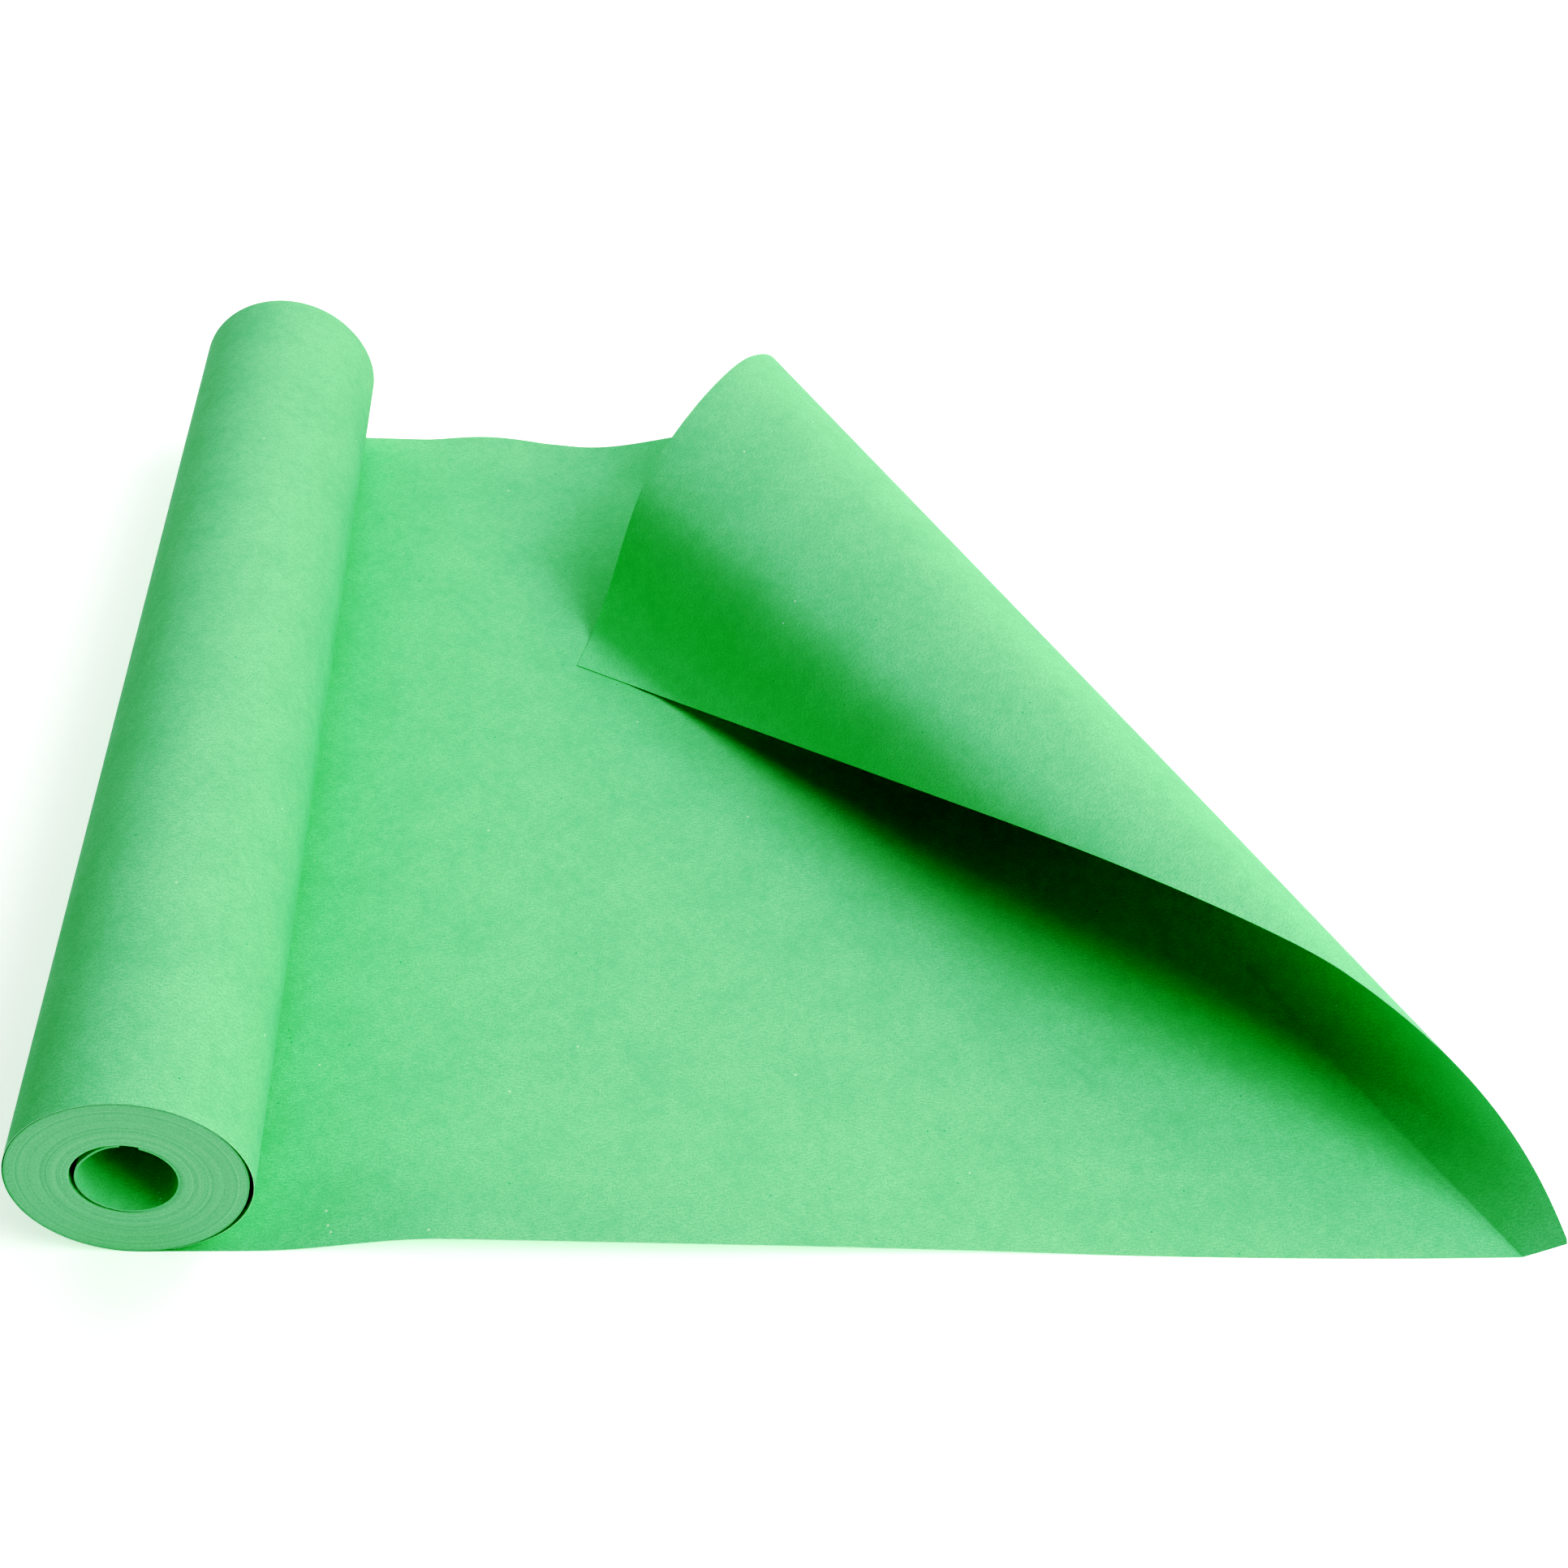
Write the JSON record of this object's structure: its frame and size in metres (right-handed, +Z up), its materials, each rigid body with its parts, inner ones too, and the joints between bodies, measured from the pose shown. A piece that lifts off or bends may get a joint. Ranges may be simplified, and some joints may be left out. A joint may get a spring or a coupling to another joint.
{
  "type": "backdrop paper roll",
  "caption": "Coreless roll of kraft backdrop paper, partly unrolled on a table, with the far corner of its loose end turned up and over.",
  "frame": {"origin": "on the axis of the roll's hole, half way along the roll", "axes": "+Y along the roll's hole, away from its front end; +X the way the paper is unrolled; +Z up from the table"},
  "size_m": [0.4932, 0.4603, 0.0841],
  "materials": {
    "kraft_paper": "uncoated machine-finished kraft paper, green"
  },
  "bodies": {
    "sheet": {"laid_sheet": "kraft_paper", "payout_stretch": "kraft_paper", "fold_rise": "kraft_paper"},
    "corner": {"turned_corner": "kraft_paper"},
    "carriage": {"nip_lead": "kraft_paper", "outer_turn": "kraft_paper"},
    "roll": {"wound_pack": "kraft_paper", "inner_turns": "kraft_paper"}
  },
  "joints": [
    {"name": "roll_travel", "type": "slide", "parent": "sheet", "child": "carriage", "axis": [1, 0, 0], "range_m": [-0.2, 0.04], "deforming": ["payout_stretch"]},
    {"name": "roll_turn", "type": "hinge", "parent": "carriage", "child": "roll", "pos_m": [0, 0, 0], "axis": [0, 1, 0], "range_deg": [-314, 63]},
    {"name": "corner_lift", "type": "hinge", "parent": "sheet", "child": "corner", "pos_m": [0.37702, -0.14666, 0.02291], "axis": [-0.5002, 0.8632, 0.0684], "range_deg": [0, 35]}
  ],
  "couplings": [
    {"joint": "roll_turn", "follows": "roll_travel", "rad_per_m": 27.397}
  ]
}
